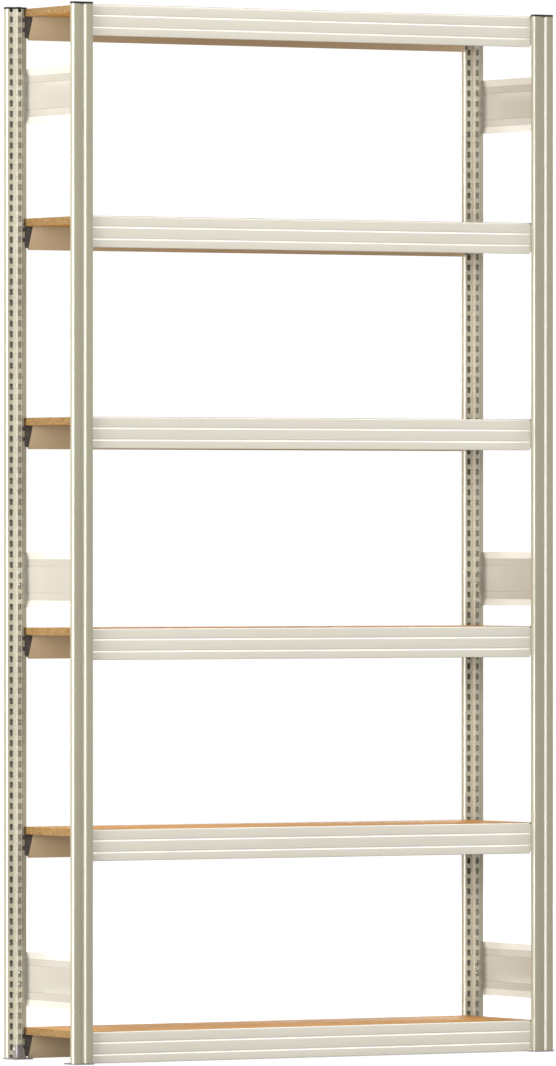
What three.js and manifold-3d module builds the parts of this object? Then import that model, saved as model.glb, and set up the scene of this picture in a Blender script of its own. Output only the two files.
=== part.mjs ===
// Boltless stock shelving bay: four slotted uprights, six chipboard decks on hooked ribbed
// beams, six folded side ties, caps, foot plates and foot bolts.
// Millimetres, +Z up, +X to the right, front at -Y. Origin: floor, centre of the plan.
import * as THREE from 'three';
import Module from 'manifold-3d';
import { mergeVertices } from 'three/addons/utils/BufferGeometryUtils.js';

// ---- driving dimensions ------------------------------------------------------------
const BAY_PITCH = 1279;              // upright centre to upright centre, along X
const FRAME_DEPTH = 340;             // outer face to outer face of a frame, along Y
const GAP = 0.3;                     // clearance between fitted pieces

const UPRIGHT_LENGTH = 2500;
const UPRIGHT_HALF_WIDTH = 27.9;
const UPRIGHT_SHEET = 1.5;
const LOBE_DEPTH = 18;               // outer face to the slotted inner faces
const SPINE_DEPTH = 31;              // outer face to the front of the central spine
const SPINE_HALF_WIDTH = 7.3;

const SLOT_PITCH = 25;
const SLOT_HEIGHT = 14.6;
// The two slot columns: the wide one on the -X side of every upright takes the right ends of the
// beams, the narrow one beside the spine takes their left ends and the ties.
const WIDE_SLOT = { offset: -15.9, width: 8.6 };
const NARROW_SLOT = { offset: 12, width: 5.6 };

const FOOT_THICKNESS = 3;
const FOOT_OVERHANG = 4;             // plate past the upright's outer face
const FOOT_DEPTH = 51;
const FOOT_HALF_WIDTH = 28.9;
const SLEEVE_HEIGHT = 35;
const SLEEVE_SHEET = 1.5;
const FOOT_BOLT_HEIGHT = 25;
const FOOT_BOLT_DEPTH = 26;          // bolt axis from the upright's outer face
const FOOT_BOLT_RADIUS = 3;

const CAP_THICKNESS = 4.6;
const CAP_OVERHANG = 0.4;
const CAP_PLUG = 12;

const BEAM_HEIGHT = 75;
const BEAM_SHEET = 1.2;
const BEAM_SETBACK = 17;             // ribbed face behind the frame's outer face
const BEAM_END = 29.2;               // beam end from the upright's centre line
const LEDGE_HEIGHT = 56.7;
const LEDGE_DEPTH = 27.2;
const BEAM_BOTTOMS = [2429, 1929, 1454, 954, 479, 1];
const HOOK_PLATE = 1.6;              // thickness of the hooked end plates
const HOOK_PLATE_INNER = 9.8;        // end plate edge from the upright's centre line

const DECK_THICKNESS = 18;
const DECK_END = 17;                 // deck end from the upright's centre line
const DECK_SETBACK = 20.6;           // deck edge behind the frame's outer face

const TIE_SHEET = 1.2;
const TIE_OFFSET = 25;               // tie web from the upright's centre line
const TIE_LIP = 4.9;
const TIE_BOTTOMS = [2230.3, 1077.8, 125.5];
const TIE_HEIGHT = 130;

const UPRIGHT_BOTTOM = FOOT_THICKNESS + GAP;
const UPRIGHT_TOP = UPRIGHT_BOTTOM + UPRIGHT_LENGTH;
const HALF_PITCH = BAY_PITCH / 2;
const HALF_DEPTH = FRAME_DEPTH / 2;

// ---- materials ---------------------------------------------------------------------
const MATERIALS = {
  frame: { color: 0xcdc8b8, roughness: 0.38, metalness: 0.1 },
  beam: { color: 0xdcd9cc, roughness: 0.36, metalness: 0.1 },
  deck: { color: 0xc79a5e, roughness: 0.8, metalness: 0 },
  cap: { color: 0x161614, roughness: 0.5, metalness: 0 },
  foot: { color: 0x6f6d70, roughness: 0.45, metalness: 0.6 },
  bolt: { color: 0xb9b9b6, roughness: 0.3, metalness: 0.9 },
};

// ---- solid helpers -----------------------------------------------------------------
const wasm = await Module();
wasm.setup();

function toSolid(geometry) {
  const bare = geometry.clone();
  bare.deleteAttribute('normal');
  bare.deleteAttribute('uv');
  const merged = mergeVertices(bare, 1e-4);
  return new wasm.Manifold(new wasm.Mesh({
    numProp: 3,
    vertProperties: new Float32Array(merged.attributes.position.array),
    triVerts: new Uint32Array(merged.index.array),
  }));
}

function toGeometry(solid) {
  const mesh = solid.getMesh();
  const geometry = new THREE.BufferGeometry();
  geometry.setAttribute('position', new THREE.BufferAttribute(mesh.vertProperties, 3));
  geometry.setIndex(new THREE.BufferAttribute(mesh.triVerts, 1));
  const flat = geometry.toNonIndexed();
  flat.computeVertexNormals();
  return flat;
}

const union = (solids) => solids.slice(1).reduce((sum, solid) => sum.add(solid), solids[0]);

function box(x0, x1, y0, y1, z0, z1) {
  const geometry = new THREE.BoxGeometry(x1 - x0, y1 - y0, z1 - z0);
  return toSolid(geometry.translate((x0 + x1) / 2, (y0 + y1) / 2, (z0 + z1) / 2));
}

function shapeOf(points, hole) {
  const shape = new THREE.Shape(points.map(([u, v]) => new THREE.Vector2(u, v)));
  if (hole) shape.holes.push(new THREE.Path(hole.map(([u, v]) => new THREE.Vector2(u, v))));
  return shape;
}

// Straight prism from a profile, drawn in the plane across its own axis.
function prism(axis, start, end, points, hole) {
  const geometry = new THREE.ExtrudeGeometry(shapeOf(points, hole), {
    depth: end - start, bevelEnabled: false, steps: 1,
  });
  geometry.translate(0, 0, start);
  const turn = new THREE.Matrix4();
  if (axis === 'x') turn.set(0, 0, 1, 0, 1, 0, 0, 0, 0, 1, 0, 0, 0, 0, 0, 1);
  if (axis === 'y') turn.set(0, 1, 0, 0, 0, 0, 1, 0, 1, 0, 0, 0, 0, 0, 0, 1);
  return toSolid(geometry.applyMatrix4(turn));
}

function rod(radius, x0, x1, y, z, sides) {
  const geometry = new THREE.CylinderGeometry(radius, radius, x1 - x0, sides);
  geometry.rotateZ(Math.PI / 2);
  return toSolid(geometry.translate((x0 + x1) / 2, y, z));
}

// Mitred offset of a closed, counter-clockwise loop; positive distances shrink it.
function inset(points, distance) {
  const count = points.length;
  const edgeNormal = (a, b) => {
    const length = Math.hypot(b[0] - a[0], b[1] - a[1]);
    return [-(b[1] - a[1]) / length, (b[0] - a[0]) / length];
  };
  return points.map((point, i) => {
    const before = edgeNormal(points[(i + count - 1) % count], point);
    const after = edgeNormal(point, points[(i + 1) % count]);
    const scale = distance / (1 + before[0] * after[0] + before[1] * after[1]);
    return [point[0] + (before[0] + after[0]) * scale, point[1] + (before[1] + after[1]) * scale];
  });
}

// Full loop from the right half of a profile that is symmetric about u = 0.
const mirrored = (half) => [...half, ...half.map(([u, v]) => [-u, v]).reverse()];

// ---- placing pieces ----------------------------------------------------------------
// A piece drawn at one upright has u along X from the upright's centre line and v inwards
// from the frame's outer face. A rear upright mirrors a front one: it is the same section
// stood on its other end.
const CORNERS = {
  front_left: { x: -HALF_PITCH, front: true },
  front_right: { x: HALF_PITCH, front: true },
  rear_left: { x: -HALF_PITCH, front: false },
  rear_right: { x: HALF_PITCH, front: false },
};

const atCorner = (solid, { x, front }) => (
  front ? solid.translate([x, -HALF_DEPTH, 0])
    : solid.mirror([0, 1, 0]).translate([x, HALF_DEPTH, 0])
);

const slotHeight = (row) => UPRIGHT_BOTTOM + row * SLOT_PITCH;

// The two slots nearest the middle of a piece that hooks over an upright.
function hookHeights(bottom, height) {
  const row = Math.round((bottom + height / 2 - UPRIGHT_BOTTOM) / SLOT_PITCH - 0.5);
  return [slotHeight(row), slotHeight(row + 1)];
}

// ---- uprights ----------------------------------------------------------------------
const UPRIGHT_LOOP = mirrored([
  [3.7, 5], [SPINE_HALF_WIDTH, 0],
  [UPRIGHT_HALF_WIDTH - 2.3, 0], [UPRIGHT_HALF_WIDTH, 5],
  [UPRIGHT_HALF_WIDTH, LOBE_DEPTH - 5], [UPRIGHT_HALF_WIDTH - 2.3, LOBE_DEPTH],
  [SPINE_HALF_WIDTH, LOBE_DEPTH], [SPINE_HALF_WIDTH, SPINE_DEPTH - 1.4],
  [SPINE_HALF_WIDTH - 1.4, SPINE_DEPTH],
]);

function slotCutter({ offset, width }, z) {
  const halfHeight = SLOT_HEIGHT / 2;
  return box(offset - width / 2, offset + width / 2, LOBE_DEPTH - 3, LOBE_DEPTH + 1,
    z - halfHeight, z + halfHeight);
}

// Both slot columns, from the half slot at the bottom edge to the half slot at the top edge.
function slotColumns() {
  const cutters = [];
  for (let row = 0; row <= UPRIGHT_LENGTH / SLOT_PITCH; row += 1) {
    cutters.push(slotCutter(WIDE_SLOT, slotHeight(row)), slotCutter(NARROW_SLOT, slotHeight(row)));
  }
  return cutters;
}

function buildUpright(corner) {
  const hollow = inset(UPRIGHT_LOOP, UPRIGHT_SHEET);
  const body = prism('z', UPRIGHT_BOTTOM, UPRIGHT_TOP, UPRIGHT_LOOP, hollow);
  const boltHole = rod(FOOT_BOLT_RADIUS + GAP, -12, 12, FOOT_BOLT_DEPTH, FOOT_BOLT_HEIGHT, 12);
  return atCorner(body.subtract(union([...slotColumns(), boltHole])), corner);
}

// ---- caps --------------------------------------------------------------------------
function buildCap(corner) {
  const top = UPRIGHT_TOP + GAP;
  const plate = prism('z', top, top + CAP_THICKNESS, mirrored([
    [UPRIGHT_HALF_WIDTH + CAP_OVERHANG - 4, -CAP_OVERHANG],
    [UPRIGHT_HALF_WIDTH + CAP_OVERHANG, 4 - CAP_OVERHANG],
    [UPRIGHT_HALF_WIDTH + CAP_OVERHANG, LOBE_DEPTH + CAP_OVERHANG - 3],
    [UPRIGHT_HALF_WIDTH + CAP_OVERHANG - 2, LOBE_DEPTH + CAP_OVERHANG],
    [SPINE_HALF_WIDTH + CAP_OVERHANG, LOBE_DEPTH + CAP_OVERHANG],
    [SPINE_HALF_WIDTH + CAP_OVERHANG, SPINE_DEPTH + CAP_OVERHANG],
  ]));
  const plug = prism('z', top - CAP_PLUG, top + 1, inset(UPRIGHT_LOOP, UPRIGHT_SHEET + GAP));
  return atCorner(plate.add(plug), corner);
}

// ---- feet --------------------------------------------------------------------------
function buildFoot(corner) {
  const inner = SPINE_HALF_WIDTH + GAP;
  const outer = inner + SLEEVE_SHEET;
  const back = LOBE_DEPTH + GAP;
  const nose = SPINE_DEPTH + GAP;
  const plate = box(-FOOT_HALF_WIDTH, FOOT_HALF_WIDTH, -FOOT_OVERHANG, FOOT_DEPTH - FOOT_OVERHANG,
    0, FOOT_THICKNESS);
  const sleeve = prism('z', FOOT_THICKNESS - 1, SLEEVE_HEIGHT, [
    [-outer, back], [-inner, back], [-inner, nose], [inner, nose], [inner, back], [outer, back],
    [outer, nose + SLEEVE_SHEET], [-outer, nose + SLEEVE_SHEET],
  ]);
  const hole = rod(FOOT_BOLT_RADIUS + GAP, -14, 14, FOOT_BOLT_DEPTH, FOOT_BOLT_HEIGHT, 12);
  return atCorner(plate.add(sleeve).subtract(hole), corner);
}

function buildFootBolt(corner) {
  const seat = -(SPINE_HALF_WIDTH + GAP + SLEEVE_SHEET + GAP);
  const head = rod(5, seat - 4, seat, FOOT_BOLT_DEPTH, FOOT_BOLT_HEIGHT, 6);
  const shank = rod(FOOT_BOLT_RADIUS, seat - 1, 3 - seat, FOOT_BOLT_DEPTH, FOOT_BOLT_HEIGHT, 12);
  return atCorner(head.add(shank), corner);
}

// ---- hooks shared by beams and ties ------------------------------------------------
// A blade that passes the slot and drops behind the upright's sheet; v is measured as for
// the uprights, plateBack is the inner side of the plate it grows from.
function hook(u, z, plateBack) {
  const slotFloor = -SLOT_HEIGHT / 2 + GAP;
  const sheetBack = LOBE_DEPTH - UPRIGHT_SHEET - GAP;
  const blade = prism('x', u - 1.1, u + 1.1, [
    [sheetBack - 2.4, slotFloor - 5], [sheetBack, slotFloor - 5], [sheetBack, slotFloor],
    [plateBack, slotFloor], [plateBack, 5], [sheetBack - 2.4, 3],
  ]);
  return blade.translate([0, 0, z]);
}

// ---- beams -------------------------------------------------------------------------
// Section in (v, z): v = 0 on the ribbed bands, two V grooves, a bevelled top lip that holds
// the deck edge, a ledge under the deck and a leaning inner sheet.
const BEAM_LOOP = [
  [2.2, 0], [LEDGE_DEPTH, LEDGE_HEIGHT], [3, LEDGE_HEIGHT], [3, 74.4], [2.4, BEAM_HEIGHT], [0.8, 73.8],
  [0, 70.7], [0, 51.9], [2.8, 49.6], [0, 46.4], [0, 23.8], [2.8, 21.5], [0, 18.5], [0, 2.7],
];
const BEAM_HOLLOW = inset([
  [1.4, 1.9], [LEDGE_DEPTH - 1.5, LEDGE_HEIGHT], [0, LEDGE_HEIGHT],
  [0, 51.9], [2.8, 49.6], [0, 46.4], [0, 23.8], [2.8, 21.5], [0, 18.5], [0, 1.9],
], BEAM_SHEET);

function beamEndPlate(bottom, hookOffset) {
  const near = LOBE_DEPTH + GAP;
  const far = near + HOOK_PLATE;
  const plate = box(HOOK_PLATE_INNER, BEAM_END + 14, near, far, bottom + 5, bottom + 71);
  const hooks = hookHeights(bottom, BEAM_HEIGHT).map((z) => hook(hookOffset, z, far - 0.4));
  return union([plate, ...hooks]);
}

function buildBeam(bottom, front) {
  const reach = HALF_PITCH - BEAM_END;
  const shift = ([v, z]) => [v + BEAM_SETBACK, z + bottom];
  const tube = prism('x', -reach, reach, BEAM_LOOP.map(shift), BEAM_HOLLOW.map(shift));
  const left = beamEndPlate(bottom, NARROW_SLOT.offset);
  const right = beamEndPlate(bottom, -WIDE_SLOT.offset).mirror([1, 0, 0]);
  const beam = union([tube, left.translate([-HALF_PITCH, 0, 0]), right.translate([HALF_PITCH, 0, 0])]);
  return atCorner(beam, { x: 0, front });
}

// ---- decks -------------------------------------------------------------------------
function buildDeck(bottom) {
  const x = HALF_PITCH - DECK_END;
  const y = HALF_DEPTH - DECK_SETBACK;
  const z = bottom + LEDGE_HEIGHT + GAP;
  return box(-x, x, -y, y, z, z + DECK_THICKNESS);
}

// ---- side ties ---------------------------------------------------------------------
// Section in (z, x): a web with two thin V folds between two lips that lean to -X.
function tieLoop() {
  const groove = (z) => [[z + 1.5, TIE_OFFSET], [z, TIE_OFFSET + 1], [z - 1.5, TIE_OFFSET]];
  const skin = [
    [TIE_HEIGHT, TIE_OFFSET - TIE_LIP], [114.5, TIE_OFFSET], ...groove(97), ...groove(33),
    [15.5, TIE_OFFSET], [0, TIE_OFFSET - TIE_LIP],
  ];
  const back = skin.map(([z, x]) => [z, x + TIE_SHEET]).reverse();
  return [...skin, ...back];
}

function tieEnd(bottom) {
  const near = LOBE_DEPTH + GAP;
  const far = near + TIE_SHEET;
  const plate = prism('y', near, far, [
    [22, HOOK_PLATE_INNER], [8, TIE_OFFSET - 4], [15.5, TIE_OFFSET + 0.8],
    [114.5, TIE_OFFSET + 0.8], [122, TIE_OFFSET - 4], [108, HOOK_PLATE_INNER],
  ]).translate([0, 0, bottom]);
  const hooks = hookHeights(bottom, TIE_HEIGHT).map((z) => hook(NARROW_SLOT.offset, z, far - 0.4));
  return union([plate, ...hooks]);
}

function buildTie(bottom, x) {
  const reach = HALF_DEPTH - LOBE_DEPTH - GAP;
  const web = prism('y', -reach, reach, tieLoop()).translate([0, 0, bottom]);
  const frontEnd = tieEnd(bottom).translate([0, -HALF_DEPTH, 0]);
  const rearEnd = frontEnd.mirror([0, 1, 0]);
  return union([web, frontEnd, rearEnd]).translate([x, 0, 0]);
}

// ---- assembly ----------------------------------------------------------------------
const assembly = new THREE.Group();
assembly.name = 'stock_shelving_bay';

function place(name, solid, material) {
  const mesh = new THREE.Mesh(toGeometry(solid), new THREE.MeshStandardMaterial(MATERIALS[material]));
  mesh.name = name;
  assembly.add(mesh);
}

for (const [name, corner] of Object.entries(CORNERS)) {
  place(`upright_${name}`, buildUpright(corner), 'frame');
  place(`cap_${name}`, buildCap(corner), 'cap');
  place(`foot_${name}`, buildFoot(corner), 'foot');
  place(`foot_bolt_${name}`, buildFootBolt(corner), 'bolt');
}

BEAM_BOTTOMS.forEach((bottom, i) => {
  place(`beam_front_${i + 1}`, buildBeam(bottom, true), 'beam');
  place(`beam_rear_${i + 1}`, buildBeam(bottom, false), 'beam');
  place(`deck_${i + 1}`, buildDeck(bottom), 'deck');
});

TIE_BOTTOMS.forEach((bottom, i) => {
  place(`tie_left_${i + 1}`, buildTie(bottom, -HALF_PITCH), 'frame');
  place(`tie_right_${i + 1}`, buildTie(bottom, HALF_PITCH), 'frame');
});

export default assembly;
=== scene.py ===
"""Looks of the boltless stock shelving bay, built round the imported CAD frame."""
import math

import bmesh
import bpy
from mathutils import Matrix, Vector

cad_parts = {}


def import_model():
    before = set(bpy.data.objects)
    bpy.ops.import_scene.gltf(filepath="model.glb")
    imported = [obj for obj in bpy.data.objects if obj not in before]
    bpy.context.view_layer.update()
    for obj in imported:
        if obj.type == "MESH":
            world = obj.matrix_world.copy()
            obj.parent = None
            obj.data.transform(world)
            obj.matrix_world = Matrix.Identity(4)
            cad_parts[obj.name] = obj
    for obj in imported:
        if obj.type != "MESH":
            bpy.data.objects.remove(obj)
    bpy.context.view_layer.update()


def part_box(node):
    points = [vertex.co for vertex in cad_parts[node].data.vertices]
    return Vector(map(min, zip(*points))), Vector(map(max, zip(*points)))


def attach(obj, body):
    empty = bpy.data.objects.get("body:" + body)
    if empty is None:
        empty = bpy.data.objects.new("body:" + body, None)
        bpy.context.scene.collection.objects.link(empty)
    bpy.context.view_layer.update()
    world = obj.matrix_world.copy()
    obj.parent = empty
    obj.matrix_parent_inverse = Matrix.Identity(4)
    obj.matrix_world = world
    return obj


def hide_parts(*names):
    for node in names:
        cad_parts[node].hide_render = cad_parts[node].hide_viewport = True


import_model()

MM = 0.001

# Sizes in millimetres, as in the CAD source. Across an upright, u is measured from its centre line
# and v from its outer face inwards.
SHEET = 1.5
HALF_WIDTH = 27.9
LOBE = 18.0
SPINE = 31.0
SPINE_HALF = 7.3
PITCH = 25.0
SLOT_HEIGHT, SLOT_ROUND = 14.6, 2.0
# (centre, width) of each column of slots
WIDE_SLOT, NARROW_SLOT, SPINE_SLOT = (-15.9, 8.6), (12.0, 5.6), (0.0, 9.4)
BEAM_HEIGHT = 75.0
BEAM_SETBACK = 17.0
BEAM_END = 29.2
FLANGE = 20.5
CLEAR = 0.3
TIE_HEIGHT = 130.0
TIE_SHEET = 1.2
TIE_U = 25.0
TIE_LIP = 4.9
LIP_HEIGHT = 15.5
# The body of everything that doesn't move.
FRAME = "frame"


# ---- profiles ----------------------------------------------------------------------
def fillet(points, step=22.5):
    """Rounds the corners of a closed loop of (u, v, radius); returns (u, v) points and the index
    of each corner's last point, so a straight run between two corners can be found again."""
    out, ends = [], []
    n = len(points)
    for i, (u, v, r) in enumerate(points):
        here = Vector((u, v))
        a = Vector(points[i - 1][:2]) - here
        b = Vector(points[(i + 1) % n][:2]) - here
        turn = math.pi - a.angle(b)
        if r <= 0 or turn < 0.02:
            out.append((u, v))
            ends.append(len(out) - 1)
            continue
        reach = min(r * math.tan(turn / 2), a.length * 0.49, b.length * 0.49)
        radius = reach / math.tan(turn / 2)
        start, stop = here + a.normalized() * reach, here + b.normalized() * reach
        mid = here + (a.normalized() + b.normalized()).normalized() * (radius / math.cos(turn / 2))
        pieces = max(1, round(math.degrees(turn) / step))
        s, e = start - mid, stop - mid
        for k in range(pieces + 1):
            t = k / pieces
            w = (s * math.sin((1 - t) * turn) + e * math.sin(t * turn)) / math.sin(turn)
            out.append(tuple(mid + w))
        ends.append(len(out) - 1)
    return out, ends


def inset(points, distance):
    """Mitred offset of a closed counter-clockwise loop of (u, v, radius) towards its inside."""
    n = len(points)

    def normal(a, b):
        d = Vector(b[:2]) - Vector(a[:2])
        return Vector((-d.y, d.x)).normalized()

    out = []
    for i, (u, v, r) in enumerate(points):
        before = normal(points[i - 1], points[i])
        after = normal(points[i], points[(i + 1) % n])
        move = (before + after) * (distance / (1 + before.dot(after)))
        convex = before.cross(after) > 0
        out.append((u + move.x, v + move.y, max(0.25, r - distance) if convex else r + distance))
    return out


# ---- meshes ------------------------------------------------------------------------
class Sheet:
    """Collects faces in millimetres and turns them into one object in metres. Each face takes the
    sheet's current ink, the index of its material."""

    def __init__(self):
        self.verts, self.faces, self.index = [], [], {}
        self.inks, self.ink = [], 0

    def point(self, p):
        key = tuple(round(c, 3) for c in p)
        if key not in self.index:
            self.index[key] = len(self.verts)
            self.verts.append(p)
        return self.index[key]

    def face(self, points):
        ids = []
        for p in points:
            i = self.point(p)
            if not ids or ids[-1] != i:
                ids.append(i)
        if ids[0] == ids[-1]:
            ids.pop()
        if len(set(ids)) >= 3:
            self.faces.append(ids)
            self.inks.append(self.ink)

    def loft(self, rings, closed=True, caps=False):
        """Skins a list of rings of equal length; caps closes both ends with a polygon."""
        n = len(rings[0])
        last = n if closed else n - 1
        for a, b in zip(rings, rings[1:]):
            for i in range(last):
                j = (i + 1) % n
                self.face([a[i], a[j], b[j], b[i]])
        if caps:
            self.face(list(reversed(rings[0])))
            self.face(list(rings[-1]))

    def prism(self, loop, place, start, stop, caps=True):
        """place(u, v, w) gives the point of the loop's (u, v) at station w."""
        self.loft([[place(u, v, w) for u, v in loop] for w in (start, stop)], caps=caps)

    def block(self, x0, x1, y0, y1, z0, z1, r=0.4):
        """A box with the four edges that run along y rounded."""
        loop, _ = fillet([(x0, z0, r), (x1, z0, r), (x1, z1, r), (x0, z1, r)], 45)
        self.prism(loop, lambda u, v, w: (u, w, v), y0, y1)

    def move(self, move):
        self.verts = [move(p) for p in self.verts]

    def add(self, part):
        for self.ink, face in zip(part.inks, part.faces):
            self.face([part.verts[i] for i in face])

    def object(self, name, materials, body, nodes=(), angle=35.0):
        mesh = bpy.data.meshes.new(name)
        mesh.from_pydata([tuple(c * MM for c in p) for p in self.verts], [], self.faces)
        work = bmesh.new()
        work.from_mesh(mesh)
        bmesh.ops.recalc_face_normals(work, faces=work.faces)
        work.to_mesh(mesh)
        work.free()
        mesh.shade_smooth()
        mesh.set_sharp_from_angle(angle=math.radians(angle))
        for material in materials:
            mesh.materials.append(material)
        mesh.polygons.foreach_set("material_index", self.inks)
        made = bpy.data.objects.new(name, mesh)
        bpy.context.scene.collection.objects.link(made)
        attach(made, body)
        if nodes:
            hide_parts(*nodes)
        return made


# ---- materials ---------------------------------------------------------------------
def new_material(name):
    """Returns the material, its nodes and links, its shader and the object coordinates."""
    material = bpy.data.materials.new(name)
    material.use_nodes = True
    nodes, links = material.node_tree.nodes, material.node_tree.links
    nodes.clear()
    output = nodes.new("ShaderNodeOutputMaterial")
    shader = nodes.new("ShaderNodeBsdfPrincipled")
    links.new(shader.outputs["BSDF"], output.inputs["Surface"])
    coords = nodes.new("ShaderNodeTexCoord")
    return material, nodes, links, shader, coords.outputs["Object"]


def noise(nodes, links, vector, scale, detail=3.0, rough=0.5, stretch=None):
    if stretch:
        mapping = nodes.new("ShaderNodeMapping")
        mapping.inputs["Scale"].default_value = stretch
        links.new(vector, mapping.inputs["Vector"])
        vector = mapping.outputs["Vector"]
    node = nodes.new("ShaderNodeTexNoise")
    node.inputs["Scale"].default_value = scale
    node.inputs["Detail"].default_value = detail
    node.inputs["Roughness"].default_value = rough
    links.new(vector, node.inputs["Vector"])
    return node.outputs["Fac"]


def ramp(nodes, links, value, stops):
    node = nodes.new("ShaderNodeValToRGB")
    elements = node.color_ramp.elements
    while len(elements) < len(stops):
        elements.new(0.5)
    for element, (position, colour) in zip(elements, stops):
        element.position = position
        element.color = (*colour, 1.0)
    links.new(value, node.inputs["Fac"])
    return node.outputs["Color"]


def spread(nodes, links, value, low, high, to_low, to_high):
    """Maps low..high to to_low..to_high, clamped."""
    node = nodes.new("ShaderNodeMapRange")
    for key, number in zip(("From Min", "From Max", "To Min", "To Max"), (low, high, to_low, to_high)):
        node.inputs[key].default_value = number
    links.new(value, node.inputs["Value"])
    return node.outputs["Result"]


def mix(nodes, links, factor, a, b, kind="MIX"):
    node = nodes.new("ShaderNodeMix")
    node.data_type, node.blend_type = "RGBA", kind
    for socket, value in ((node.inputs[0], factor), (node.inputs[6], a), (node.inputs[7], b)):
        if isinstance(value, (int, float)):
            socket.default_value = value
        elif isinstance(value, tuple):
            socket.default_value = (*value, 1.0)
        else:
            links.new(value, socket)
    return node.outputs[2]


def bump(nodes, links, shader, height, strength, distance):
    node = nodes.new("ShaderNodeBump")
    node.inputs["Strength"].default_value = strength
    node.inputs["Distance"].default_value = distance
    links.new(height, node.inputs["Height"])
    links.new(node.outputs["Normal"], shader.inputs["Normal"])


def facing_up(nodes, links, low, high):
    """0 on walls and undersides, rising to 1 on surfaces that face straight up."""
    geometry = nodes.new("ShaderNodeNewGeometry")
    axes = nodes.new("ShaderNodeSeparateXYZ")
    links.new(geometry.outputs["Normal"], axes.inputs["Vector"])
    return spread(nodes, links, axes.outputs["Z"], low, high, 0.0, 1.0)


def paint(name, base, rough=(0.20, 0.22), ior=1.5):
    """Gloss powder coat: faint orange peel, slow tone changes, specks, vertical scuffs and settled dust."""
    material, nodes, links, shader, at = new_material(name)
    darker = tuple(c * 0.97 for c in base)
    lighter = tuple(min(1.0, c * 1.02) for c in base)
    slow = noise(nodes, links, at, 1.7, 2.0)
    tone = ramp(nodes, links, slow, [(0.35, darker), (0.65, lighter)])
    specks = noise(nodes, links, at, 330.0, 2.0)
    grain = spread(nodes, links, specks, 0.45, 0.8, 0.0, 0.2)
    tone = mix(nodes, links, grain, tone, tuple(c * 0.9 for c in base))
    scuffs = noise(nodes, links, at, 260.0, 3.0, 0.7, stretch=(1.0, 1.0, 0.06))
    worn = spread(nodes, links, scuffs, 0.68, 0.78, 0.0, 0.08)
    tone = mix(nodes, links, worn, tone, tuple(min(1.0, c * 1.2) for c in base))
    patches = noise(nodes, links, at, 18.0, 4.0)
    film = nodes.new("ShaderNodeMath")
    film.operation = "MULTIPLY"
    links.new(facing_up(nodes, links, 0.5, 0.95), film.inputs[0])
    links.new(spread(nodes, links, patches, 0.35, 0.75, 0.05, 0.3), film.inputs[1])
    links.new(mix(nodes, links, film.outputs[0], tone, (0.55, 0.52, 0.46)), shader.inputs["Base Color"])
    links.new(spread(nodes, links, patches, 0.3, 0.7, *rough), shader.inputs["Roughness"])
    shader.inputs["IOR"].default_value = ior
    peel = noise(nodes, links, at, 300.0, 1.0)
    bump(nodes, links, shader, peel, 0.03, 0.0001)
    return material


def chipboard(name):
    """Raw chipboard: coarse chips on the edges, fine sanded chips on the faces."""
    material, nodes, links, shader, at = new_material(name)
    geometry = nodes.new("ShaderNodeNewGeometry")
    axis = nodes.new("ShaderNodeSeparateXYZ")
    links.new(geometry.outputs["Normal"], axis.inputs["Vector"])
    up = nodes.new("ShaderNodeMath")
    up.operation = "ABSOLUTE"
    links.new(axis.outputs["Z"], up.inputs[0])
    is_face = spread(nodes, links, up.outputs[0], 0.45, 0.75, 0.0, 1.0)

    def chips(scale, stretch, dark, mid, light):
        mapping = nodes.new("ShaderNodeMapping")
        mapping.inputs["Scale"].default_value = stretch
        links.new(at, mapping.inputs["Vector"])
        cell = nodes.new("ShaderNodeTexVoronoi")
        cell.inputs["Scale"].default_value = scale
        cell.inputs["Randomness"].default_value = 1.0
        links.new(mapping.outputs["Vector"], cell.inputs["Vector"])
        value = nodes.new("ShaderNodeSeparateColor")
        links.new(cell.outputs["Color"], value.inputs["Color"])
        stops = [(0.0, dark), (0.35, mid), (0.8, mid), (1.0, light)]
        return ramp(nodes, links, value.outputs["Red"], stops), cell

    edge, edge_cell = chips(330.0, (0.45, 0.45, 1.0),
                            (0.135, 0.07, 0.023), (0.214, 0.126, 0.044), (0.28, 0.182, 0.076))
    face, face_cell = chips(520.0, (0.6, 1.0, 1.0),
                            (0.545, 0.262, 0.060), (0.615, 0.312, 0.075), (0.668, 0.362, 0.098))
    slow = noise(nodes, links, at, 5.0, 4.0)
    grain = mix(nodes, links, is_face, edge, face)
    shade = ramp(nodes, links, slow, [(0.3, (0.90, 0.88, 0.86)), (0.7, (1.0, 1.0, 1.0))])
    links.new(mix(nodes, links, 1.0, grain, shade, "MULTIPLY"), shader.inputs["Base Color"])
    shader.inputs["Specular IOR Level"].default_value = 0.15
    rough = noise(nodes, links, at, 60.0, 3.0)
    links.new(spread(nodes, links, rough, 0.3, 0.7, 0.5, 0.75), shader.inputs["Roughness"])
    height = mix(nodes, links, is_face, edge_cell.outputs["Distance"], face_cell.outputs["Distance"])
    bump(nodes, links, shader, height, 0.35, 0.0006)
    return material


def plastic(name, base):
    """Moulded plastic with a fine grain."""
    material, nodes, links, shader, at = new_material(name)
    grain = noise(nodes, links, at, 900.0, 3.0)
    tone = noise(nodes, links, at, 30.0, 3.0)
    links.new(ramp(nodes, links, tone, [(0.3, base), (0.75, tuple(c * 1.8 for c in base))]),
              shader.inputs["Base Color"])
    links.new(spread(nodes, links, tone, 0.3, 0.7, 0.45, 0.6), shader.inputs["Roughness"])
    shader.inputs["Specular IOR Level"].default_value = 0.25
    bump(nodes, links, shader, grain, 0.25, 0.0002)
    return material


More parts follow.
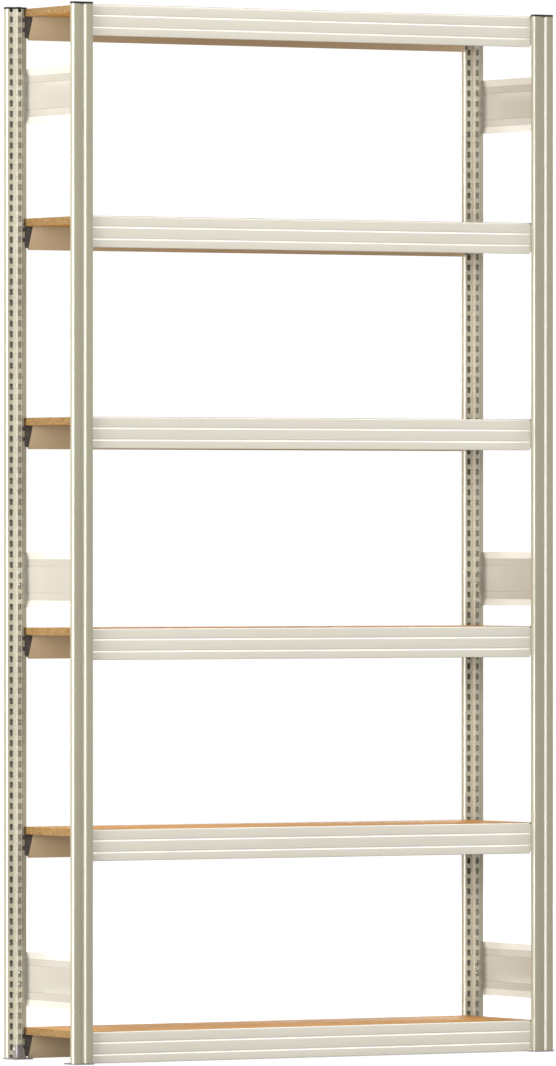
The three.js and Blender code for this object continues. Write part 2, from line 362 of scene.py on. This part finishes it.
def zinc(name, base, rough=(0.3, 0.5), metallic=0.35):
    """Plated or bare sheet metal: small crystals with dull stains."""
    material, nodes, links, shader, at = new_material(name)
    cell = nodes.new("ShaderNodeTexVoronoi")
    cell.inputs["Scale"].default_value = 160.0
    links.new(at, cell.inputs["Vector"])
    value = nodes.new("ShaderNodeSeparateColor")
    links.new(cell.outputs["Color"], value.inputs["Color"])
    tone = ramp(nodes, links, value.outputs["Green"],
                [(0.0, tuple(c * 0.82 for c in base)), (1.0, tuple(min(1, c * 1.12) for c in base))])
    stain = noise(nodes, links, at, 40.0, 4.0)
    dull = spread(nodes, links, stain, 0.55, 0.75, 0.0, 0.5)
    links.new(mix(nodes, links, dull, tone, tuple(c * 0.6 for c in base)), shader.inputs["Base Color"])
    shader.inputs["Metallic"].default_value = metallic
    links.new(spread(nodes, links, stain, 0.3, 0.7, *rough), shader.inputs["Roughness"])
    bump(nodes, links, shader, stain, 0.15, 0.0002)
    return material


POST_PAINT = paint("post_paint", (0.307, 0.290, 0.213), ior=1.65)
# Rear uprights take a slightly pinker copy of the post paint: painted light, for how the light falls on them.
REAR_LIGHT_TINT_PAINT = paint("rear_post_painted_light_tint", (0.302, 0.269, 0.204), ior=1.65)
# A lighter copy of the post paint: painted light on the groove's floor and on a rear upright's faces that
# look to the front.
LIT_POST_PAINT = paint("post_painted_light", (0.40, 0.383, 0.293), ior=1.65)
TIE_PAINT = paint("tie_paint", (0.352, 0.325, 0.274), rough=(0.20, 0.215))
# A paler copy of the tie paint for the lips: a painted highlight for the light they reflect.
LIP_HIGHLIGHT_PAINT = paint("tie_lip_painted_highlight", (0.48, 0.45, 0.39), rough=(0.20, 0.215))
BEAM_PAINT = paint("beam_paint", (0.568, 0.538, 0.460), ior=1.55)
# Near-white paint for a beam's groove lower walls and top bevel: a painted highlight.
BEAM_HIGHLIGHT_PAINT = paint("beam_ridge_painted_highlight", (0.84, 0.82, 0.77), ior=1.65)
# Browner paint for a beam's leaning inner sheet: painted shade and warm light bounced from the boards.
BEAM_BACK_SHADE_PAINT = paint("beam_back_painted_shade", (0.46, 0.355, 0.226))
BOARD = chipboard("chipboard")
BARE_ZINC = zinc("bare_zinc", (0.30, 0.27, 0.22), rough=(0.5, 0.6), metallic=0.0)
# Near-black for a beam's hollow, the block inside it and a rear beam's end plates: painted shade.
HOLLOW_SHADE_BLACK = zinc("beam_hollow_painted_shade", (0.075, 0.06, 0.05), rough=(0.5, 0.7), metallic=0.0)
LUG = zinc("lug_zinc", (0.85, 0.83, 0.78), rough=(0.2, 0.3), metallic=0.1)
BLACK = plastic("black_plastic", (0.008, 0.008, 0.0075))
ZINC = zinc("zinc_plate", (0.25, 0.225, 0.225))
STEEL = zinc("bolt_steel", (0.56, 0.52, 0.47), rough=(0.25, 0.35))


# ---- where things are --------------------------------------------------------------
def corner_frame(node):
    """(x of the upright's centre line, y of its outer face, sign of 'inwards'), in millimetres."""
    low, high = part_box(node)
    x = (low[0] + high[0]) / 2 / MM
    if (low[1] + high[1]) < 0:
        return x, low[1] / MM, 1.0
    return x, high[1] / MM, -1.0


CORNERS = {name: corner_frame("upright_" + name)
           for name in ("front_left", "front_right", "rear_left", "rear_right")}


def at_corner(name):
    """Takes a point drawn across an upright, (u, v, z), to its place in the bay."""
    x, y, inwards = CORNERS[name]
    return lambda p: (x + p[0], y + inwards * p[1], p[2])


# ---- uprights ----------------------------------------------------------------------
GROOVE = 5.0
HALF_LOOP = [(3.7, GROOVE, 0.6), (SPINE_HALF, 0.0, 0.7), (HALF_WIDTH - 2.3, 0.0, 0.8), (HALF_WIDTH, 5.0, 0.8),
             (HALF_WIDTH, LOBE - 5.0, 0.8), (HALF_WIDTH - 2.3, LOBE, 0.8), (SPINE_HALF, LOBE, 0.6),
             (SPINE_HALF, SPINE, 1.1)]
UPRIGHT = HALF_LOOP + [(-u, v, r) for u, v, r in reversed(HALF_LOOP)]
# Straight runs that carry slots, by the corner they start from: (slot centre, slot width).
SLOTTED = {5: NARROW_SLOT, 7: SPINE_SLOT, 9: WIDE_SLOT}
ROUND_STEPS = 3
# Inks of an upright, in the order of its materials.
# The third ink is the lighter paint, painted light.
SKIN, BARE, PALE = 0, 1, 2


def slot_edge(centre, half, low, high, bottom, top):
    """Right and left halves of a slot's outline, from its foot to its head. Its foot is rounded when
    bottom is true and its head when top is true."""
    def corner(start, z):
        turns = [start + k / ROUND_STEPS * math.pi / 2 for k in range(ROUND_STEPS + 1)]
        u = centre + half - SLOT_ROUND
        return [(u + SLOT_ROUND * math.cos(a), z + SLOT_ROUND * math.sin(a)) for a in turns]

    right = corner(-math.pi / 2, low + SLOT_ROUND) if bottom else [(centre + half, low)]
    right += corner(0.0, high - SLOT_ROUND) if top else [(centre + half, high)]
    return right, [(2 * centre - u, z) for u, z in right]


def slotted_panel(sheet, u0, u1, v, wall, slot, z0, z1, slot_low, slot_high, bottom, top):
    """One pitch of a slotted strip at depth v, from u0 to u1 in either direction, and the slot's own
    wall down to depth v + wall. A strip at the upright's foot or head has half a slot, left open."""
    side = 1 if u1 > u0 else -1
    right, left = slot_edge(slot[0], slot[1] / 2, slot_low, slot_high, bottom, top)
    near, far = (left, right) if side > 0 else (right, left)

    def p(u, z, depth=v):
        return (u, depth, z)

    straight = ROUND_STEPS if bottom else 0
    cn, cf = near[straight][0], far[straight][0]
    near_mid = [p(*q) for q in near if abs(q[0] - cn) < 1e-6]
    far_mid = [p(*q) for q in far if abs(q[0] - cf) < 1e-6]
    sheet.face([p(u0, z0), p(cn, z0), *near_mid, p(cn, z1), p(u0, z1)])
    sheet.face([p(cf, z0), p(u1, z0), p(u1, z1), p(cf, z1), *reversed(far_mid)])
    arc = ROUND_STEPS + 1
    if bottom:
        foot_arcs = [p(*q) for q in far[:arc][::-1] + near[:arc]]
        sheet.face([p(cn, z0), p(cf, z0), *foot_arcs])
    if top:
        head_arcs = [p(*q) for q in near[-arc:] + far[-arc:][::-1]]
        sheet.face([*head_arcs, p(cf, z1), p(cn, z1)][::-1])
    if wall:
        outline = list(near) + list(reversed(far))
        count = len(outline)
        closed = bottom and top
        for i in range(count if closed else count - 1):
            if not closed and i == len(near) - 1 and not top:
                continue
            a, b = outline[i], outline[(i + 1) % count]
            sheet.face([p(*a), p(*b), p(*b, v + wall), p(*a, v + wall)])
        if not closed and not top:
            a, b = far[0], near[0]
            sheet.face([p(*a), p(*b), p(*b, v + wall), p(*a, v + wall)])


def upright(name):
    low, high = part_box("upright_" + name)
    base, head = low[2] / MM, high[2] / MM
    outer, outer_end = fillet(UPRIGHT)
    inner, inner_end = fillet(inset(UPRIGHT, SHEET))
    rows = int(round((head - base) / PITCH))
    levels = [base] + [base + (k + 0.5) * PITCH for k in range(rows)] + [head]
    sheet = Sheet()
    for sheet.ink, loop, ends, wall in ((SKIN, outer, outer_end, -SHEET), (BARE, inner, inner_end, 0)):
        count = len(loop)
        starts = {ends[corner]: slot for corner, slot in SLOTTED.items()}
        for i in range(count):
            (u0, v0), (u1, v1) = loop[i], loop[(i + 1) % count]
            for k, (z0, z1) in enumerate(zip(levels, levels[1:])):
                if i in starts:
                    middle = base + k * PITCH
                    slotted_panel(sheet, u0, u1, v0, wall, starts[i], z0, z1,
                                  max(middle - SLOT_HEIGHT / 2, base), min(middle + SLOT_HEIGHT / 2, head),
                                  k > 0, k < rows)
                else:
                    sheet.face([(u0, v0, z0), (u1, v1, z0), (u1, v1, z1), (u0, v0, z1)])
    # The strip's two folded edges, which show behind the spine's slots.
    inside = SPINE_HALF - SHEET + 0.1
    seam = [(-inside, SPINE - 3.6), (0.6, SPINE - 3.6), (0.6, SPINE - 5.6), (inside, SPINE - 5.6),
            (inside, SPINE - 4.8), (1.4, SPINE - 4.8), (1.4, SPINE - 2.6), (-inside, SPINE - 2.6)]
    sheet.ink = BARE
    sheet.prism(seam, lambda u, v, z: (u, v, z), base + 0.5, head - 0.5)
    sheet.move(at_corner(name))
    rear = name.startswith("rear")
    # A rear upright's pinker copy of the paint is painted light.
    skin = [REAR_LIGHT_TINT_PAINT if rear else POST_PAINT, BARE_ZINC, LIT_POST_PAINT]
    post = sheet.object("post_" + name, skin, FRAME, ["upright_" + name])
    _, outer_face, inwards = CORNERS[name]
    # The groove's floor, and a rear upright's faces that look to the front, take the lighter paint: painted
    # light where they would render darker.
    for polygon in post.data.polygons:
        depth = (polygon.center.y / MM - outer_face) * inwards
        in_groove = abs(depth - GROOVE) < 0.1 and abs(polygon.normal.y) > 0.9
        if polygon.material_index == SKIN and (in_groove or (rear and polygon.normal.y < -0.8)):
            polygon.material_index = PALE


# ---- caps, feet and bolts ----------------------------------------------------------
CAP_HEIGHT = 4.6
PLUG_DEPTH = 11.5


def cap(name):
    """A rimmed lid on the upright's head, with a plug down inside it."""
    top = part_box("cap_" + name)[1][2] / MM
    under = top - CAP_HEIGHT
    rim = [(24.3, -0.4, 2.0), (28.3, 3.6, 2.0), (28.3, 15.4, 1.2), (26.3, 18.4, 1.2), (7.7, 18.4, 0.8),
           (7.7, 31.4, 1.2)]
    rim = rim + [(-u, v, r) for u, v, r in reversed(rim)]
    sheet = Sheet()
    rings = []
    for back, z in ((0.0, under), (0.0, top - 1.2), (0.25, top - 0.6), (0.7, top - 0.15), (1.3, top)):
        loop, _ = fillet(inset(rim, back) if back else rim)
        rings.append([(u, v, z) for u, v in loop])
    sheet.loft(rings, caps=True)
    plug, _ = fillet(inset(UPRIGHT, SHEET + CLEAR))
    sheet.prism(plug, lambda u, v, w: (u, v, w), under - PLUG_DEPTH, under + 0.5)
    sheet.move(at_corner(name))
    sheet.object("end_cap_" + name, [BLACK], FRAME, ["cap_" + name])


def foot(name):
    """A thin plate on the floor, with a sleeve round the spine that is welded to it."""
    sheet = Sheet()
    half, start, stop = 28.9, -4.0, 47.0
    centre = (start + stop) / 2
    mean_half = 27.0
    plate, _ = fillet([(-half, start, 4.0), (half, start, 4.0), (half, stop, 4.0), (-half, stop, 4.0)])
    rings = []
    for back, z in ((0.5, 0.0), (0.0, 0.5), (0.0, 2.5), (0.5, 3.0)):
        scale = 1 - back / mean_half
        rings.append([(u * scale, (v - centre) * scale + centre, z) for u, v in plate])
    sheet.loft(rings, caps=True)
    wrap = [(9.1, 18.3, 0.3), (9.1, 32.8, 2.2), (-9.1, 32.8, 2.2), (-9.1, 18.3, 0.3),
            (-7.6, 18.3, 0.3), (-7.6, 31.3, 1.2), (7.6, 31.3, 1.2), (7.6, 18.3, 0.3)]
    sleeve, _ = fillet(wrap)
    sheet.loft([[(u, v, z) for u, v in sleeve] for z in (2.6, 34.6, 35.0)], caps=True)
    for side in (-1, 1):
        u0, u1 = sorted((side * 9.0, side * 10.4))
        bead = [(u0, 18.6), (u1, 18.6), (u1, 33.0), (u0, 33.0)]
        edge = side * 9.05
        low_ring = [(u, v, 2.8) for u, v in bead]
        high_ring = [(edge + (u - edge) * 0.1, v, 4.6) for u, v in bead]
        sheet.loft([low_ring, high_ring], caps=True)
    sheet.move(at_corner(name))
    sheet.object("foot_plate_" + name, [ZINC], FRAME, ["foot_" + name])


def foot_bolt(name):
    """A hexagon screw that lies along x, its head at the low end, with a turned thread."""
    low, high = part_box("foot_bolt_" + name)
    y, z = (low[1] + high[1]) / 2 / MM, (low[2] + high[2]) / 2 / MM
    x0, x1 = low[0] / MM, high[0] / MM
    sheet = Sheet()

    def ring(x, radius, sides, turn=0.0):
        return [(x, y + radius * math.cos(turn + 2 * math.pi * k / sides),
                 z + radius * math.sin(turn + 2 * math.pi * k / sides)) for k in range(sides)]

    head, collar = 4.0, 4.25
    sheet.loft([ring(x0 + 0.1, 3.9, 24), ring(x0, 4.1, 24)], caps=False)
    sheet.face(list(reversed(ring(x0, 3.6, 24))))
    sheet.loft([ring(x0, 3.6, 24), ring(x0 + 0.35, collar, 24)])
    sheet.loft([ring(x0 + 0.35, collar, 24), ring(x0 + head, collar, 24)])
    sheet.loft([ring(x0 + 0.5, 4.95, 6), ring(x0 + head - 0.6, 4.95, 6)], caps=True)
    sheet.loft([ring(x0 + head - 0.5, 4.9, 24), ring(x0 + head, 4.9, 24)], caps=True)
    thread = []
    x = x0 + head - 0.1
    while x < x1 - 0.6:
        thread.append(ring(x, 2.9, 16))
        thread.append(ring(x + 0.5, 2.55, 16))
        x += 1.0
    thread.append(ring(x1, 2.3, 16))
    sheet.loft(thread, caps=True)
    sheet.object("bolt_" + name, [STEEL], FRAME, ["foot_bolt_" + name], angle=50)


# ---- hooks -------------------------------------------------------------------------
def hook_rows(low, high):
    """Heights of the two slots that hold a piece which reaches from low to high."""
    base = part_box("upright_front_left")[0][2] / MM
    row = round(((low + high) / 2 - base) / PITCH - 0.5)
    return base + row * PITCH, base + (row + 1) * PITCH


def hook(sheet, u, z, back):
    """A drop-in blade through a slot; drawn in (v, z), 2.2 mm thick along u."""
    half, tongue, drop = 1.1, 2.4, 5.0
    foot_z = -SLOT_HEIGHT / 2 + CLEAR
    sheet_back = LOBE - SHEET - CLEAR
    loop, _ = fillet([(sheet_back - tongue, foot_z - drop, 0.8), (sheet_back, foot_z - drop, 0.6),
                      (sheet_back, foot_z, 0.2), (back, foot_z, 0), (back, 5, 0),
                      (sheet_back - tongue, 3, 1.2)], 30)
    sheet.prism(loop, lambda v, h, w: (u + w, v, z + h), -half, half)


def stud(sheet, u, v, z):
    """The domed tip of a hook that shows in a slot of the spine."""
    turns = [k * math.pi / 6 for k in range(12)]
    rings = [[(u + r * math.cos(a), v + h, z + r * math.sin(a)) for a in turns]
             for r, h in ((1.9, 0.0), (1.9, 0.9), (1.5, 1.25), (0.8, 1.4))]
    sheet.loft(rings, caps=True)


# ---- beams -------------------------------------------------------------------------
# Sections in (depth, height, radius): the outside, and the hollow between the sheets.
BEAM_LOOP = [(2.2, 0.0, 0.5), (27.2, 56.7, 0.7), (3.0, 56.7, 0.3), (3.0, BEAM_HEIGHT, 0.8), (0.0, 72.9, 2.2),
             (0.0, 51.9, 0.35), (2.8, 49.6, 0.3), (0.0, 46.4, 0.35), (0.0, 23.8, 0.35), (2.8, 21.5, 0.3),
             (0.0, 18.5, 0.35), (0.0, 1.6, 1.2)]
BEAM_HOLLOW = [(1.2, 3.6, 0.3), (24.6, 55.5, 0.6), (1.2, 55.5, 0.4), (1.2, 52.5, 0.6), (4.0, 49.9, 0.8),
               (4.0, 49.2, 0.5), (1.2, 45.9, 0.6), (1.2, 24.4, 0.6), (4.0, 21.9, 0.5), (4.0, 21.2, 0.5),
               (1.2, 17.9, 0.6)]
# Foot and head of each weld between a beam and its end plate.
WELDS = ((27.0, 43.5), (58.5, 66.0))
# Inks of a beam, in the order of its materials.
# The back ink is painted shade and bounce light, the dark ink painted shade, the ridge ink a painted
# highlight.
OUTSIDE, BACK, DARK, RIDGE = 0, 1, 2, 3


def beam(side, level):
    node = f"beam_{side}_{level}"
    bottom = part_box(node)[0][2] / MM
    left, outer_face, inwards = CORNERS[side + "_left"]
    right = CORNERS[side + "_right"][0]
    sheet = Sheet()
    outer, _ = fillet(BEAM_LOOP)
    hollow, _ = fillet(BEAM_HOLLOW)
    start, stop = left + BEAM_END, right - BEAM_END

    def place(v, z, x):
        return x, v + BEAM_SETBACK, z + bottom

    sheet.prism(outer, place, start, stop, caps=False)
    # The hollow's inner faces are near-black: painted shade.
    sheet.ink = DARK
    sheet.prism(hollow, place, stop, start, caps=False)
    for x in (start, stop):
        end_ring(sheet, outer, hollow, x, place)
    for x, turn, hook_u in ((left, 1.0, NARROW_SLOT[0]), (right, -1.0, -WIDE_SLOT[0])):
        part = beam_end(side, bottom, hook_u)
        part.move(lambda p: (x + turn * p[0], p[1], p[2]))
        sheet.add(part)
    sheet.move(lambda p: (p[0], outer_face + inwards * p[1], p[2]))
    materials = [BEAM_PAINT, BEAM_BACK_SHADE_PAINT, HOLLOW_SHADE_BLACK, BEAM_HIGHLIGHT_PAINT]
    rail = sheet.object(f"rail_{side}_{level}", materials, FRAME, [node], angle=28)
    # The leaning inner sheet takes a browner paint, painted shade and bounce light; the groove's lower walls
    # and the top bevel take a near-white paint, a painted highlight.
    for polygon in rail.data.polygons:
        in_facing = polygon.normal.y * inwards
        if in_facing > 0.6 and -0.6 < polygon.normal.z < -0.2:
            polygon.material_index = BACK
        if in_facing < -0.4 and polygon.normal.z > 0.4:
            polygon.material_index = RIDGE


def beam_end(side, bottom, hook_u):
    """A beam's left end plate with its hooks and welds, and a dark block in the beam's hollow, painted shade;
    a rear beam's plate is near-black, painted shade too.
    """
    part = Sheet()
    # A rear beam's end plate is near-black: painted shade in the corner under the deck.
    plate_ink = DARK if side == "rear" else OUTSIDE
    near, far = LOBE + CLEAR, LOBE + CLEAR + 1.6
    foot_z, head_z = 5.0, 71.0
    plate, _ = fillet([(FLANGE, foot_z + 4, 1.0), (FLANGE + 3, foot_z, 1.0), (BEAM_END, foot_z, 0),
                       (BEAM_END, head_z, 0), (FLANGE + 3, head_z, 1.0), (FLANGE, head_z - 4, 1.0)], 30)
    part.ink = plate_ink
    part.prism(plate, lambda u, z, w: (u, w, z + bottom), near, far)
    part.ink = DARK
    part.block(BEAM_END, BEAM_END + 14.0, near + 3.0, far + 3.0, bottom + 14.0, bottom + head_z, 1.0)
    part.ink = plate_ink
    for z in hook_rows(bottom, bottom + BEAM_HEIGHT):
        part.block(hook_u - 1.6, FLANGE + 0.6, near, far, z - 5.0, z + 5.0, 1.0)
        hook(part, hook_u, z, far - 0.4)
    for z0, z1 in WELDS:
        weld_bead(part, BEAM_END, far, bottom + z0, bottom + z1)
    return part


def end_ring(sheet, outer, hollow, x, place):
    """Closes the sheet thickness at a beam's cut end, with the hollow left open."""
    mesh = bmesh.new()
    edges = []
    for loop in (outer, hollow):
        verts = [mesh.verts.new((v, z, 0)) for v, z in loop]
        edges += [mesh.edges.new(pair) for pair in zip(verts, verts[1:] + verts[:1])]
    bmesh.ops.triangle_fill(mesh, use_beauty=True, use_dissolve=False, edges=edges)
    for face in mesh.faces:
        sheet.face([place(v.co.x, v.co.y, x) for v in face.verts])
    mesh.free()


def weld_bead(sheet, u, v, z0, z1):
    """A short rippled weld along the joint of a beam and its end plate."""
    rings = []
    z, k = z0, 0
    while z <= z1:
        r = 0.9 + 0.25 * math.sin(k * 1.9)
        rings.append([(u + r * math.cos(a), v + 0.2 + r * math.sin(a) * 0.8, z)
                      for a in (0.0, 1.05, 2.1, 3.15, 4.2, 5.25)])
        z += 1.0
        k += 1
    sheet.loft(rings, caps=True)


# ---- decks -------------------------------------------------------------------------
def deck(level):
    low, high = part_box(f"deck_{level}")
    x0, y0, z0 = (c / MM for c in low)
    x1, y1, z1 = (c / MM for c in high)
    sheet = Sheet()
    rings = []
    edge = ((0.7, 0.0), (0.2, 0.25), (0.0, 0.8))
    for back, z in [(b, z0 + h) for b, h in edge] + [(b, z1 - h) for b, h in reversed(edge)]:
        loop, _ = fillet([(x0 + back, y0 + back, 1.0), (x1 - back, y0 + back, 1.0),
                          (x1 - back, y1 - back, 1.0), (x0 + back, y1 - back, 1.0)], 45)
        rings.append([(u, v, z) for u, v in loop])
    sheet.loft(rings, caps=True)
    sheet.object(f"board_{level}", [BOARD], f"deck_{level}_board", [f"deck_{level}"])


# ---- side ties ---------------------------------------------------------------------
def tie_skin(offset):
    """Open run of (z, u, radius) up one skin of a tie, offset from its outer one."""
    def crease(z):
        return [(z + 1.5, TIE_U, 0.3), (z, TIE_U + 1.6, 0.4), (z - 1.5, TIE_U, 0.3)]

    run = [(TIE_HEIGHT, TIE_U - TIE_LIP, 0), (TIE_HEIGHT - LIP_HEIGHT, TIE_U, 1.6), *crease(97.0),
           *crease(33.0), (LIP_HEIGHT, TIE_U, 1.6), (0.0, TIE_U - TIE_LIP, 0)]
    points, _ = fillet([(z, u + offset, r) for z, u, r in run])
    return points


# Heights of the hooks' tips that show in the spine's slots, above the tie's lower edge.
TIP_HEIGHTS = (54.0, 81.5)
# Inks of a tie, in the order of its materials; the web keeps ink 0 and the lips take a paler paint, a painted
# highlight.
TIP, LIP = 1, 2


def tie_end(bottom):
    """The flange at a tie's front end, with its hooks and their tips in the spine's slots."""
    part = Sheet()
    near, far = LOBE + CLEAR, LOBE + CLEAR + TIE_SHEET
    low, high = LIP_HEIGHT, TIE_HEIGHT - LIP_HEIGHT
    plate, _ = fillet([(low - 3.5, FLANGE, 1.0), (low, TIE_U + 0.8, 0.4), (high, TIE_U + 0.8, 0.4),
                       (high + 3.5, FLANGE, 1.0)], 30)
    part.prism(plate, lambda z, u, w: (u, w, z), near, far)
    for row in hook_rows(bottom, bottom + TIE_HEIGHT):
        z = row - bottom
        part.block(NARROW_SLOT[0] - 1.6, FLANGE + 0.6, near, far, z - 5.0, z + 5.0, 1.0)
        hook(part, NARROW_SLOT[0], z, far - 0.4)
    part.ink = TIP
    for z in TIP_HEIGHTS:
        stud(part, -1.5, SPINE - 1.0, z)
    return part


def tie(side, level):
    node = f"tie_{side}_{level}"
    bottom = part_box(node)[0][2] / MM
    x = CORNERS["front_" + side][0]
    half_depth = -CORNERS["front_left"][1]
    reach = half_depth - LOBE - CLEAR
    sheet = Sheet()
    section = tie_skin(0.0) + tie_skin(TIE_SHEET)[::-1]
    sheet.prism(section, lambda z, u, w: (u, w, z), -reach, reach)
    # The lips take the paler paint: a painted highlight.
    for i, face in enumerate(sheet.faces):
        heights = [sheet.verts[v][2] for v in face]
        if min(heights) > TIE_HEIGHT - LIP_HEIGHT - 0.5 or max(heights) < LIP_HEIGHT + 0.5:
            sheet.inks[i] = LIP
    for turn in (-1.0, 1.0):
        part = tie_end(bottom)
        part.move(lambda p: (p[0], turn * (half_depth - p[1]), p[2]))
        sheet.add(part)
    sheet.move(lambda p: (p[0] + x, p[1], p[2] + bottom))
    sheet.object(f"side_tie_{side}_{level}", [TIE_PAINT, LUG, LIP_HIGHLIGHT_PAINT], FRAME, [node], angle=28)


for corner in CORNERS:
    upright(corner)
    cap(corner)
    foot(corner)
    foot_bolt(corner)
for number in range(1, 7):
    beam("front", number)
    beam("rear", number)
    deck(number)
for number in range(1, 4):
    tie("left", number)
    tie("right", number)


# ---- floor, light and camera -------------------------------------------------------
MIDDLE = 1.25
FLOOR_HALF = 60.0
# The floor's glow rises from GLOW_NEAR to 1 between these two distances from the bay's centre.
GLOW_START, GLOW_STOP = 1.5, 5.0
GLOW_NEAR = 0.86
FILL, BACKDROP = 0.03, 1.05
# (azimuth, elevation, strength, distance, width, height), as soft_box() takes them
SOFT_BOXES = [
    (90, 3, 1.42, 14.0, 36, 28),
    (64, 3, 0.48, 14.0, 16, 28),
    (100, 32, 0.30, 12.0, 24, 20),
    (26, 9, 0.58, 12.0, 26, 20),
    (-30, 32, 0.27, 9.0, 20, 20),
    (50, -16, 0.16, 12.0, 24, 20),
    (-70, 5, 0.30, 12.0, 24, 24),
    (-77, 58, 0.36, 10.0, 26, 22),
    (154, 20, 0.17, 12.0, 44, 16),
    (154, -20, 0.17, 12.0, 44, 16),
    (-150, 12, 0.22, 12.0, 20, 20),
]


def stage():
    """A pale floor just under the feet. What the camera sees of it glows to white away from the bay."""
    mesh = bpy.data.meshes.new("floor")
    corners = ((-1, -1), (1, -1), (1, 1), (-1, 1))
    mesh.from_pydata([(x * FLOOR_HALF, y * FLOOR_HALF, -0.001) for x, y in corners], [], [(0, 1, 2, 3)])
    material, nodes, links, shader, at = new_material("pale_floor")
    tone = noise(nodes, links, at, 0.6, 2.0)
    links.new(ramp(nodes, links, tone, [(0.3, (0.25, 0.25, 0.25)), (0.7, (0.27, 0.27, 0.27))]),
              shader.inputs["Base Color"])
    shader.inputs["Roughness"].default_value = 0.9
    shader.inputs["Specular IOR Level"].default_value = 0.1
    path = nodes.new("ShaderNodeLightPath")
    away = nodes.new("ShaderNodeVectorMath")
    away.operation = "LENGTH"
    links.new(at, away.inputs[0])
    glow = nodes.new("ShaderNodeMath")
    glow.operation = "MULTIPLY"
    links.new(path.outputs["Is Camera Ray"], glow.inputs[0])
    level = spread(nodes, links, away.outputs["Value"], GLOW_START, GLOW_STOP, GLOW_NEAR, 1.0)
    links.new(level, glow.inputs[1])
    shader.inputs["Emission Color"].default_value = (1.0, 1.0, 1.0, 1.0)
    links.new(glow.outputs[0], shader.inputs["Emission Strength"])
    mesh.materials.append(material)
    floor = bpy.data.objects.new("floor", mesh)
    bpy.context.scene.collection.objects.link(floor)
    floor.visible_shadow = floor.visible_glossy = False


def soft_box(azimuth, elevation, strength, distance, width, height):
    """A soft box aimed at the middle of the bay. Azimuth is turned from the front (-Y) towards the
    left (-X); width and height are angles too, in degrees. Strength is what the box gives at the
    middle, in pi W/m2."""
    light = bpy.data.lights.new(f"soft_{azimuth}_{elevation}", "AREA")
    light.shape = "RECTANGLE"
    light.size = 2 * distance * math.tan(math.radians(width / 2))
    light.size_y = 2 * distance * math.tan(math.radians(height / 2))
    light.energy = strength * (math.pi * distance) ** 2
    a, e = math.radians(azimuth), math.radians(elevation)
    towards = Vector((-math.sin(a) * math.cos(e), -math.cos(a) * math.cos(e), math.sin(e)))
    made = bpy.data.objects.new(light.name, light)
    made.location = towards * distance + Vector((0.0, 0.0, MIDDLE))
    made.rotation_mode = "QUATERNION"
    made.rotation_quaternion = (-towards).to_track_quat("-Z", "Y")
    made.visible_camera = False
    bpy.context.scene.collection.objects.link(made)


def world():
    """White for the camera, and a faint even fill for everything else."""
    made = bpy.data.worlds.new("studio")
    made.use_nodes = True
    nodes, links = made.node_tree.nodes, made.node_tree.links
    nodes.clear()
    output = nodes.new("ShaderNodeOutputWorld")
    path = nodes.new("ShaderNodeLightPath")
    choose = nodes.new("ShaderNodeMixShader")
    links.new(path.outputs["Is Camera Ray"], choose.inputs["Fac"])
    for socket, strength in ((1, FILL), (2, BACKDROP)):
        white = nodes.new("ShaderNodeBackground")
        white.inputs["Color"].default_value = (1.0, 1.0, 1.0, 1.0)
        white.inputs["Strength"].default_value = strength
        links.new(white.outputs["Background"], choose.inputs[socket])
    links.new(choose.outputs["Shader"], output.inputs["Surface"])
    bpy.context.scene.world = made


# The camera looks level, turned from straight ahead by VIEW_TURN degrees, and is placed from the foot
# of the front left upright. Distance, offset to the right and height are in metres, sensor and lens in
# millimetres.
VIEW_TURN = 30.49
VIEW_DISTANCE = 25.403
VIEW_RIGHT = 0.4587
VIEW_HEIGHT = 1.2567
SENSOR = 36.0
LENS = 363.7148
VIEW_SHIFT = -0.000938


def camera():
    turn = math.radians(VIEW_TURN)
    forward = Vector((math.sin(turn), math.cos(turn), 0.0))
    right = Vector((math.cos(turn), -math.sin(turn), 0.0))
    x, y, _ = CORNERS["front_left"]
    foot_point = Vector((x * MM, y * MM, 0.0))
    data = bpy.data.cameras.new("camera")
    data.sensor_width = SENSOR
    data.lens = LENS
    data.shift_y = VIEW_SHIFT
    data.clip_start, data.clip_end = 0.5, 200.0
    made = bpy.data.objects.new("camera", data)
    made.location = foot_point - forward * VIEW_DISTANCE + right * VIEW_RIGHT
    made.location.z = VIEW_HEIGHT
    made.rotation_mode = "QUATERNION"
    made.rotation_quaternion = forward.to_track_quat("-Z", "Y")
    bpy.context.scene.collection.objects.link(made)
    bpy.context.scene.camera = made


stage()
for box in SOFT_BOXES:
    soft_box(*box)
world()
camera()
bpy.context.scene.view_settings.view_transform = "Standard"
bpy.context.scene.view_settings.look = "None"
